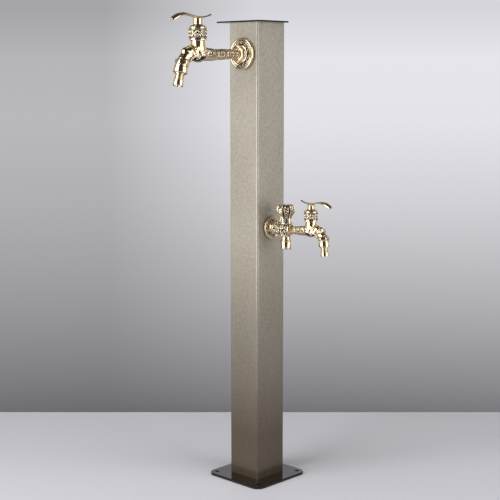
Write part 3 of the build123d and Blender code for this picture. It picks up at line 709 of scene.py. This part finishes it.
def make_flange(tap):
    """Wall flange: polished rim, fine rings, a carved wave and a stepped hub."""
    size, at, facts, bays = sizes(), places(), tap_facts(tap), 10
    bore, foot = at.thread / facts.flange_share, at.gasket / facts.flange_share
    edge, top, hub = size.flange_radius, foot + size.flange_height, foot + size.hub_height
    field_outer, field_inner = edge * 0.745, edge * 0.575
    rim = curve((0, -3.2), (0, -0.6), (-1.2, 0), (-2.9, 0), 8)
    rim += [(-3.9, -0.2), (-4.5, -0.8), (-4.7, -1.6), (-5.3, -1.7)]
    rim += curve((-5.3, -1.7), (-5.5, -0.7), (-6.5, -0.7), (-6.7, -1.6), 6)
    rim += curve((-6.9, -1.7), (-7.0, -0.9), (-7.8, -0.9), (-8.0, -1.3), 5)
    rise, ledge = hub - top, [(-0.2, 0.8), (-0.9, 1.4), (-2.2, 1.7)]
    ledge += curve((-2.4, 1.7), (-3.0, rise), (-3.5, rise), (-4.6, rise), 6)
    outline = [(bore, foot), (edge - 0.5, foot), (edge, foot + 0.5), *moved(rim, edge, top)]
    outline += run((field_outer - 0.2, top - 1.3), (field_inner, top - 0.4), 22)
    outline += [*moved(ledge, field_inner, top), (bore, hub)]
    middle = (field_outer + field_inner) / 2

    def pattern(points, normals):
        way, reach = around_z(points)
        zone = within(field_inner + 0.2, field_outer - 0.5, reach, 0.4)
        raised = wave(way * middle, reach - middle, math.tau * middle / bays, 1.5, 0.75)
        return raised, zone, 1.7 * raised - 1

    mesh = carved(to_mesh(turned(outline, 360), "flange"), pattern, relief().flange_depth, 0.3)
    place = wall_place(tap, facts.flange_share) @ OUTWARDS
    placed(mesh, tap + "_carved_flange", place, replaced=(tap + "_flange",))


def make_collar():
    """Hexagon collar between the upper flange and its arm, with rounded corners."""
    size = sizes()
    low, high = places().gasket + size.hub_height, size.collar_length
    corner = size.collar_flats / 2 / math.cos(math.pi / 6)
    inside = 0.66 * corner
    bm = softened(turned([(inside, 0), (corner, 0), (corner, high), (inside, high)], 6), 1.1, 3)
    place = wall_place("upper") @ OUTWARDS @ Matrix.Translation((0, 0, low))
    placed(bm, "upper_hexagon_collar", place)


# Carving of a tap's body, seen from its side in the head's frame. Leaves: root, tip, width, lobes and
# bend. Scrolls: centre, radius and hand. The arm's scrolls have a share of the leaves' depth.
BODY_LEAVES = (
    ((-30, 5.0), (25, -9.5), 8.2, 5, 1.5), ((20, -7.5), (47, -27), 7.0, 4, -1.0),
    ((-8, -3), (-24, -9), 4.2, 3),
)
BODY_SCROLLS = (
    ((-21, 4), 6.4, 1), ((-13.5, 12.5), 5.4, -1), ((-2, 4.5), 4.6, 1), ((10, -9.5), 4.8, -1),
    ((26, -14.5), 4.8, 1), ((37, -13.5), 4.4, -1), ((37, -23.5), 4.2, 1),
)
ARM_SHARE = 0.32


def body_ornament(arm_height, arm_zone, arm_radius):
    """Carving of a tap's body: leaves from the arm under the neck and down the spout, and arm scrolls."""

    def pattern(points, normals):
        x, z = points[:, 0], points[:, 2]
        side = eased(0.12, 0.5, np.abs(normals[:, 1]))
        marks = [leaf(x, z, *mark) for mark in BODY_LEAVES]
        marks += [volute(x, z, *mark, 1.0) for mark in BODY_SCROLLS]
        leaves = np.maximum.reduce(marks)
        axis = 5.0 - 0.42 * (x + 24) - np.clip(x - 20, 0, None) * 0.55
        zone = side * within(-8.5, 8.0, z - axis, 1.2) * within(-30, 49, x, 1.5)
        way, reach = around_x(points, arm_height)
        on_arm = within(*arm_zone, x, 1.0) * (reach < arm_radius * 1.6) * (reach > arm_radius * 0.8)
        scrolls = scrollwork(x, way * arm_radius, math.tau * arm_radius / 5, math.tau * arm_radius / 4)
        zone_arm = on_arm * (1 - zone)
        arm = zone_arm > zone
        shade = np.where(arm, 2.0 * scrolls - 1.2, 2.2 * leaves - 1)
        return np.where(arm, scrolls, leaves), np.clip(zone + zone_arm * ARM_SHARE, 0, 1), shade

    return pattern


def waisted(mesh, slim=1.7):
    """Draw the neck in towards the bonnet, leaving its bore as it is."""
    points, _ = points_and_normals(mesh)
    _, reach = around_z(points)
    drawn = slim * eased(9, 19, points[:, 2]) * eased(12.4, 13.4, reach) * (points[:, 2] < 24.4)
    points[:, :2] *= (1 - drawn / np.maximum(reach, 1))[:, None]
    return set_points(mesh, points)


def swollen(mesh, centre, radius, limit, rounds=0):
    """Push the outer skin out over a ball, with a soft foot, leaving the bores as they are."""
    points, normals = points_and_normals(mesh)
    away = points - np.array(centre)
    reach = np.maximum(np.linalg.norm(away, axis=1), 1e-6)
    near = reach < 2 * radius
    outer = eased(0.0, 0.4, np.sum(away * normals, axis=1) / reach) * (reach > limit)
    grown = (reach ** 8 + radius ** 8) ** 0.125
    set_points(mesh, points + away * (outer * (grown - reach) / reach * near)[:, None])
    bm = editable(mesh)
    bm.verts.ensure_lookup_table()
    smooth(bm, [bm.verts[number] for number in np.flatnonzero((outer > 0) & near)], rounds)
    return written(bm, mesh)


# Balls that round out the inner corners of a tap's head: centre and radius
CORNER_BALLS = (
    ((16.8, 0, 10.4), 4.8), ((12.8, 10.4, 7.8), 4.0), ((12.8, -10.4, 7.8), 4.0), ((-16.8, 0, 9.6), 4.6),
)


def make_body(tap):
    """Cast body of a tap: the packed solid's form with soft joins and carved leaves."""
    size, facts, place = sizes(), tap_facts(tap), head_place(tap)
    mouth = Vector((size.spout_reach, 0, -size.spout_drop))
    down = Vector((math.sin(facts.tilt), 0, -math.cos(facts.tilt)))

    def soft(point):
        reach = math.hypot(point.x, point.y)
        return (12.2 < reach < 25 and 1 < point.z < 18) or -15 < (point - mouth).dot(down) < -3.4

    if tap == "upper":
        grain, pattern = 0.72, body_ornament(-1.6, (-101, -38), 10.3)
    else:
        grain, pattern = 0.6, body_ornament(-facts.rise / facts.share, (-52, -30), 10.6)
    skin = waisted(cast_copy(tap + "_body", place, grain, CORNER_BALLS, soft))
    swollen(skin, (22, 0, 2.5), 11.5, 4.0)
    swollen(skin, (32.5, 0, 1.5), 9.3, 4.0, 10)
    mesh = carved(skin, pattern, relief().leaf_depth)
    placed(mesh, tap + "_cast_body", place, replaced=(tap + "_body",), sharp=CAST_SHARP)


def make_shoulder_buttons():
    """Polished round bosses on both sides of the lower tap's front shoulder."""
    outline = [(0, -4.0), (7.4, -4.0)]
    outline += curve((7.4, 0.5), (7.4, 1.2), (6.8, 1.5), (6.5, 1.1), 5)
    outline += curve((6.3, 1.0), (6.3, 4.2), (3.6, 5.5), (0, 5.5), 12)
    for side, name in ((-1, "front"), (1, "back")):
        turn = Matrix.Rotation(math.radians(-90 * side), 4, "X")
        place = head_place("lower") @ Matrix.Translation((33.8, side * 10.2, -1.0)) @ turn
        placed(turned(outline, 64, closed=False), "lower_shoulder_boss_" + name, place)


def make_bonnet(tap):
    """Bonnet: skirt ring, carved band between thin rings, and a domed shoulder."""
    size, barrel, inset, tiles = sizes(), 24.0, 0.8, 8
    low, radius, bore, stem = size.neck_height, size.bonnet_radius, 14.2, 6.2
    top, crown, field = low + barrel, low + size.bonnet_height, radius - inset
    ring = curve((0, 0), (inset + 0.6, 0), (inset + 0.6, 1.2), (0, 1.2), 7)
    shoulder = curve((0, -0.3), (0, 2.6), (-4.0, 3.6), (10.8 - radius, 5.4), 12)
    outline = [(bore, low), *moved([(0, 0), (0.6, 0.5), (0.6, 2.4), (0.1, 3.0)], radius, low)]
    outline += moved([(-0.2, 3.2), (-0.2, 3.9), *moved(ring, 0, 4.0)], field, low)
    outline += run((field, low + 5.4), (field, top - 4.2), 32)
    outline += moved([*moved(ring, 0, -4.0), (-0.1, -2.4)], field, top)
    outline += moved([(-0.2, -2.1), (0, -1.8), *shoulder], radius, top)
    outline += [(10.4, crown - 0.2), (10.0, crown), (stem, crown), (stem, low + 17.1), (bore, low + 17.1)]

    def pattern(points, normals):
        way, reach = around_z(points)
        height = points[:, 2] - low - 5.4
        zone = within(0.4, barrel - 10.0, height, 0.35) * (reach > field - 0.4)
        raised = scrollwork(way * field, height * 0.999, math.tau * field / tiles, barrel - 9.6)
        return raised, zone, 2.2 * raised - 1

    mesh = carved(to_mesh(turned(outline, 300), "bonnet"), pattern, relief().band_depth, 0.25)
    placed(mesh, tap + "_carved_bonnet", head_place(tap), replaced=(tap + "_bonnet",))


# Stations of the lever above its saddle: reach, height, half width, half thickness and how far the
# strap's sides hang below its middle
LEVER_STATIONS = (
    (-35.3, 6.9, 1.0, 0.4, 0.0), (-34.6, 6.8, 3.3, 1.9, 0.0), (-33.0, 6.4, 4.3, 2.5, 0.0),
    (-31.0, 5.9, 4.4, 2.1, 0.1), (-28.5, 5.3, 4.3, 1.5, 0.2), (-22.0, 3.7, 4.6, 1.6, 0.4),
    (-10.6, 1.7, 4.8, 2.1, 0.4), (4.0, 1.9, 5.0, 2.4, 0.4), (19.3, 4.5, 5.3, 2.6, 0.7),
    (35.0, 6.4, 6.2, 2.9, 1.6), (50.0, 4.3, 7.0, 3.1, 2.4), (60.0, 0.3, 7.0, 3.0, 2.6),
    (65.3, -3.0, 6.3, 2.7, 2.2), (68.0, -5.1, 4.8, 1.9, 1.2), (68.9, -5.9, 1.6, 0.5, 0.4),
)


def through(stations, count):
    """Rows on a smooth run through the stations."""
    rows = np.array(stations)
    rows = np.vstack((2 * rows[0] - rows[1], rows, 2 * rows[-1] - rows[-2]))
    made = []
    for place in np.linspace(0, len(stations) - 1, count):
        at = min(int(place), len(stations) - 2)
        part = place - at
        before, start, end, after = rows[at:at + 4]
        square = 2 * before - 5 * start + 4 * end - after
        cube = 3 * (start - end) + after - before
        made.append(start + 0.5 * part * (end - before + part * (square + part * cube)))
    return np.array(made)


def make_lever(tap):
    """S-shaped lever: a strap with hanging sides, a vein and a forked tip, on its waisted boss."""
    size = sizes()
    low = size.neck_height + size.bonnet_height + 0.3
    saddle = low + 12.0
    rows = through(LEVER_STATIONS, 150)
    ways = np.gradient(rows[:, :2], axis=0)
    ways /= np.linalg.norm(ways, axis=1)[:, None]
    bm = bmesh.new()
    bmesh.ops.create_cone(bm, cap_ends=True, segments=44, radius1=1, radius2=1, depth=2)
    rails = [edge for edge in bm.edges if abs(edge.verts[0].co.z - edge.verts[1].co.z) > 1]
    bmesh.ops.subdivide_edges(bm, edges=rails, cuts=len(rows) - 2, use_grid_fill=True)
    for vert in bm.verts:
        at = round((vert.co.z + 1) / 2 * (len(rows) - 1))
        (reach, rise, width, thickness, hang), (ahead, up) = rows[at], ways[at]
        side, lift = math.copysign(abs(vert.co.x) ** 0.8, vert.co.x), vert.co.y
        off = width * side
        high = thickness * lift * (1.0 if lift > 0 else 0.75) - hang * side * side
        if lift > 0:
            veined = float(eased(24, 42, reach))
            high -= 0.8 * math.exp(-(off / 0.9) ** 2) * veined
            high += 0.35 * math.exp(-(abs(off) - 2.6) ** 2) * veined
        fork = 4.2 * math.exp(-(off / 1.5) ** 2) * float(eased(59, 68, reach))
        vert.co = (reach - up * high - ahead * fork, off, saddle + rise + ahead * high - up * fork)
    bmesh.ops.recalc_face_normals(bm, faces=bm.faces)
    outline = [(0, 0), (9.2, 0), (9.6, 0.4), (9.6, 1.6)]
    outline += curve((9.3, 2.0), (8.8, 4.0), (8.8, 8.0), (9.6, 10.2), 10)
    outline += curve((9.6, 10.2), (10.2, 11.8), (7.4, 13.6), (0, 13.6), 12)[1:]
    boss = to_mesh(turned(moved(outline, 0, low), 72, closed=False), "boss")
    bm.from_mesh(boss)
    bpy.data.meshes.remove(boss)
    placed(bm, tap + "_cast_lever", head_place(tap), tap + "_lever_body", (tap + "_lever",), 50)


def make_connector(tap):
    """Hose connector: plain nut, then a tail with two ribs and a long tip."""
    size, place = sizes(), mouth_place(tap)
    nut, end = size.nut_radius, size.nut_length
    outline = [(10.9, 0), (nut - 1.0, 0), (nut, 1.0), (nut, end - 1.0), (nut - 1.0, end), (8.5, end),
               (8.5, end - 2.2), (10.9, end - 2.2)]
    placed(softened(turned(outline), 0.25), tap + "_connector_nut", place, replaced=(tap + "_nozzle_nut",))
    rib, gap, second, waist, foot = np.cumsum([end + 3.4, 2.8, 3.4, 2.8, 12.5])
    outline = [(6.2, end - 4.0), (10.8, end - 4.0), (10.8, end - 2.2), (8.4, end - 2.2), (8.4, end),
               (10.6, end + 1.0), (10.6, rib - 1.0), (8.4, rib), (8.4, gap), (9.4, gap + 1.0),
               (9.4, second - 1.0), (8.4, second), (8.4, waist), (9.6, waist), (10.3, waist + 1.0),
               (10.6, foot - 1.0), (9.8, foot), (6.2, foot)]
    placed(softened(turned(outline), 0.22), tap + "_connector_tail", place, replaced=(tap + "_nozzle_tail",))


def make_block():
    """Cast two-way block, carved all over up to its smooth flare."""
    place, middle = wall_place("lower"), places().branch_reach
    arm, column = 11.0, 13.0
    skin = cast_copy("lower_block", place, 0.48)
    swollen(skin, (middle - 1.0, 0, 0), 14.4, 10.0)
    swollen(skin, (middle - 14.0, 0, 0), 12.8, 9.6)

    def pattern(points, normals):
        x, z = points[:, 0], points[:, 2]
        way, reach = around_x(points)
        turn, off_column = around_z(points, middle)
        zone = within(14.5, 51.0, x, 0.8) * (reach > 9.6) * within(-13.5, 12.5, z, 0.8) * (off_column > 9.6)
        beside = within(-13.0, 13.0, x - middle, 0.5)
        along_arm = scrollwork(x - 14.5, way * arm, 9.5, math.tau * arm / 8)
        round_column = scrollwork(turn * column, z, math.tau * column / 8, 9.0)
        raised = along_arm * (1 - beside) + round_column * beside
        return raised, zone, 2.2 * raised - 1

    mesh = carved(skin, pattern, relief().block_depth)
    placed(mesh, "lower_cast_block", place, replaced=("lower_block",), sharp=CAST_SHARP)


def make_side_outlet():
    """Sleeve of the side outlet: bead at the top, plain polished barrel, open below."""
    top, low, inside, barrel = -22.1, -41.0, 8.5, 10.95
    bead = curve((0, 0), (0.7, -0.3), (0.7, -1.7), (0, -2.0), 6) + [(-0.35, -2.2), (-0.35, -2.7), (0, -3.0)]
    outline = [(inside, top), *moved(bead, barrel, top), (barrel, low + 0.8), (barrel - 0.8, low),
               (7.2, low), (6.4, low + 0.8), (6.4, top - 11.0), (inside, top - 11.0)]
    placed(softened(turned(outline), 0.2), "side_outlet_sleeve", branch_place(),
           replaced=("side_outlet_collar",))


def make_knob():
    """Tulip knob: panels with slanting strokes on the bulb, parted by flutes."""
    panels, groove = 8, 2.0
    low, tall, widest, waist = 11.8, 39.0, 19.1, 11.9
    outline = [(3.3, 0), (12.8, 0), (13.2, 0.4), (13.2, 1.6)]
    outline += curve((12.9, 1.9), (12.2, 3.5), (11.7, 6.5), (waist, 10.0), 14)
    outline += curve((waist, 10.0), (12.5, 18.0), (widest, 19.0), (widest, 27.6), 44)[1:]
    outline += curve((widest, 27.6), (widest, 33.5), (15.4, tall - 0.3), (8.6, tall - 0.1), 28)[1:]
    outline += [(5.4, tall), (4.2, tall), (3.7, tall - 0.5), (3.7, tall - 3.2), (1.6, tall - 3.2),
                (1.6, tall - 9.0), (3.3, tall - 9.0)]
    stroke_share = relief().hatch_depth / 1.5

    def pattern(points, normals):
        height = points[:, 2] - low
        way, reach = around_z(points)
        part = np.mod(way / math.tau * panels + 0.5, 1) - 0.5
        flute = eased(0.27, 0.46, np.abs(part))
        outer = eased(7.0, 10.5, reach) * eased(1.6, 3.4, height)
        panel = within(-0.26, 0.26, part, 0.04) * within(11.0, 35.5, height, 1.2)
        between = panel * (0.5 - 0.5 * np.cos(math.tau * (height / 5.4 + part * 2.2)))
        return 1.0 - flute - between * stroke_share, outer, 0.5 - 1.7 * flute - between * 1.4

    mesh = carved(to_mesh(turned(moved(outline, 0, low), 384), "knob"), pattern, groove, 1.0)
    placed(mesh, "tulip_knob", branch_place(), "knob_body", ("knob",), CAST_SHARP)


# The studio. The camera's picture width, focal length and axis column are in pixels, its bearing is
# taken from -Y, and its distance and height are in metres.
PICTURE, FOCAL, AXIS_COLUMN, SENSOR = 500, 1164.6, 257.04, 36
BEARING, DIP, DISTANCE, EYE_HEIGHT = 43.848, 0.1473, 2.3951, 0.8381

# Corners of the floor, to the right of the camera's axis and behind the post
FLOOR_CORNERS = ((-2.5, 0.46), (2.5, 0.46), (2.5, -3.14), (-2.5, -3.14))
FLOOR_DROP = Vector((0, 0, -0.0004))

# Greys of the paper backdrop, from its foot up
PAPER = ((0.0, 0.17), (0.017, 0.195), (0.077, 0.258), (0.27, 0.434), (0.523, 0.645), (0.725, 0.783),
         (0.88, 0.8), (1.0, 0.68))

# Softboxes: name, bearing from the camera, distance, height, width, length, power, the height each
# is turned to, and whether the brass mirrors it
SOFTBOXES = (
    ("left_softbox", -54, 1.7, 1.2, 1.37, 2.3, 42, 1.2, True),
    ("right_softbox", 59, 1.7, 1.2, 1.37, 2.3, 24, 1.2, True),
    ("top_softbox", -10, 0.6, 2.5, 1.6, 1.2, 22, 0.5, False),
)


def bearing(degrees):
    """Level direction that lies so many degrees from the camera's, seen from the post."""
    way = math.radians(BEARING + degrees)
    return Vector((math.sin(way), -math.cos(way), 0))


def make_camera():
    camera = bpy.data.cameras.new("view")
    camera.lens, camera.sensor_width = FOCAL / PICTURE * SENSOR, SENSOR
    camera.shift_x = (PICTURE / 2 - AXIS_COLUMN) / PICTURE
    eye = add_object("view", camera)
    bpy.context.scene.camera = eye
    eye.location = bearing(0) * DISTANCE + Vector((0, 0, EYE_HEIGHT))
    ahead = bearing(180) * math.cos(DIP) - Vector((0, 0, math.sin(DIP)))
    eye.rotation_euler = ahead.to_track_quat("-Z", "Y").to_euler()


def make_floor():
    """Pale floor just under the base plate."""
    ground = Finish("studio_floor", Roughness=0.55)
    ground.set(Base_Color=colours().floor)
    right, back = bearing(90), bearing(180)
    bm = bmesh.new()
    bm.faces.new([bm.verts.new(right * across + back * away + FLOOR_DROP) for across, away in FLOOR_CORNERS])
    mesh = to_mesh(bm, "floor")
    mesh.materials.append(ground.material)
    add_object("floor", mesh)


def make_surroundings():
    """Paper backdrop by direction, and dimmer greys for what the brass mirrors and for the shade."""
    tone, made = colours(), Surroundings("studio")
    height = made.height()
    rise = height.between(-0.2817, 0.0564)
    shade = made.ramp(rise, [(stop, (grey * 0.99, grey * 0.98, grey * 1.04)) for stop, grey in PAPER])
    across = made.along(tuple(bearing(90))).between(-0.127, 0.0)
    paper = made.mixed((1.0 - across) * (rise * 0.24 + 0.2), shade, (0.0, 0.0, 0.0))
    paper = made.mixed(1.0 - height.between(-0.4, -0.29), paper, tone.floor)
    beyond = made.along(tuple(bearing(180))).between(-0.45, 0.5)
    mirrored = made.mixed((1.0 - beyond) * 0.94, shade, (0.02, 0.02, 0.02))
    mirrored = made.mixed(height.between(0.35, 0.75) * 0.9, mirrored, (0.03, 0.03, 0.03))
    rays = made.node("LightPath").outputs
    seen = Value(made, rays["Is Camera Ray"]) + Value(made, rays["Is Transmission Ray"])
    ambient = made.mixed(Value(made, rays["Is Glossy Ray"]), (0.12, 0.12, 0.122), mirrored)
    made.join(made.shader.inputs["Color"], made.mixed(seen.clamped(), ambient, paper))


def make_softboxes():
    for name, turn, away, height, width, tall, power, aim, mirrored in SOFTBOXES:
        lamp = bpy.data.lights.new(name, "AREA")
        lamp.shape, lamp.size, lamp.size_y, lamp.energy = "RECTANGLE", width, tall, power
        box = add_object(name, lamp)
        box.location = bearing(turn) * away + Vector((0, 0, height))
        box.rotation_euler = (Vector((0, 0, aim)) - box.location).to_track_quat("-Z", "Y").to_euler()
        box.visible_camera, box.visible_glossy = False, mirrored


def make_stage():
    """Pale floor, paper backdrop, softboxes and the camera."""
    make_camera()
    make_floor()
    make_surroundings()
    make_softboxes()
    bpy.context.scene.view_settings.view_transform = "Standard"


def dress_nodes():
    """Give every packed node its finish."""
    for name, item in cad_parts.items():
        material = finish(node_finish(name))
        if not item.material_slots:
            item.data.materials.append(material)
        for slot in item.material_slots:
            slot.material = material


# Operators, one for each group of like pieces

def step(name, label, description, work):
    """An operator class that runs one piece of the work."""

    def execute(self, context):
        work()
        return {"FINISHED"}

    return type("STANDPIPE_OT_" + name, (bpy.types.Operator,), {
        "bl_idname": "standpipe." + name, "bl_label": label, "__doc__": description, "execute": execute,
        "bl_options": {"REGISTER", "UNDO"},
    })


def for_both(make):
    def work():
        for tap in ("upper", "lower"):
            make(tap)
    return work


def make_all_of_block():
    make_block()
    make_side_outlet()
    make_shoulder_buttons()


STEPS = [
    step("finishes", "Finishes", "Give every packed piece its finish", dress_nodes),
    step("flanges", "Wall flanges", "Make the carved wall flanges", for_both(make_flange)),
    step("collar", "Hexagon collar", "Make the collar of the upper tap", make_collar),
    step("bodies", "Tap bodies", "Make the cast and carved tap bodies", for_both(make_body)),
    step("bonnets", "Bonnets", "Make the bonnets with their carved bands", for_both(make_bonnet)),
    step("levers", "Levers", "Make the S-shaped levers", for_both(make_lever)),
    step("connectors", "Hose connectors", "Make the nuts and tails of the hose connectors",
         for_both(make_connector)),
    step("block", "Two-way block", "Make the carved block, its side outlet and shoulder bosses",
         make_all_of_block),
    step("knob", "Tulip knob", "Make the fluted knob", make_knob),
    step("stage", "Studio", "Make the floor, backdrop, lights and camera", make_stage),
]


class STANDPIPE_PT_panel(bpy.types.Panel):
    """Lists the steps that dress the standpipe."""
    bl_idname = "STANDPIPE_PT_panel"
    bl_label = "Garden standpipe"
    bl_space_type = "VIEW_3D"
    bl_region_type = "UI"
    bl_category = "Standpipe"

    def draw(self, context):
        for operator in STEPS:
            self.layout.operator(operator.bl_idname)


GROUPS = {
    "standpipe_places": StandpipeTapPlaces,
    "standpipe_sizes": StandpipeTurnedSizes,
    "standpipe_relief": StandpipeRelief,
    "standpipe_colours": StandpipeColours,
}
CLASSES = [*GROUPS.values(), *STEPS, STANDPIPE_PT_panel]


def register():
    for cls in CLASSES:
        bpy.utils.register_class(cls)
    for name, group in GROUPS.items():
        setattr(bpy.types.Scene, name, bpy.props.PointerProperty(type=group))


def unregister():
    for name in GROUPS:
        delattr(bpy.types.Scene, name)
    for cls in reversed(CLASSES):
        bpy.utils.unregister_class(cls)


def main():
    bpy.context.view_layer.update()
    register()
    for operator in STEPS:
        getattr(bpy.ops.standpipe, operator.bl_idname.split(".")[1])()


if __name__ == "__main__":
    main()
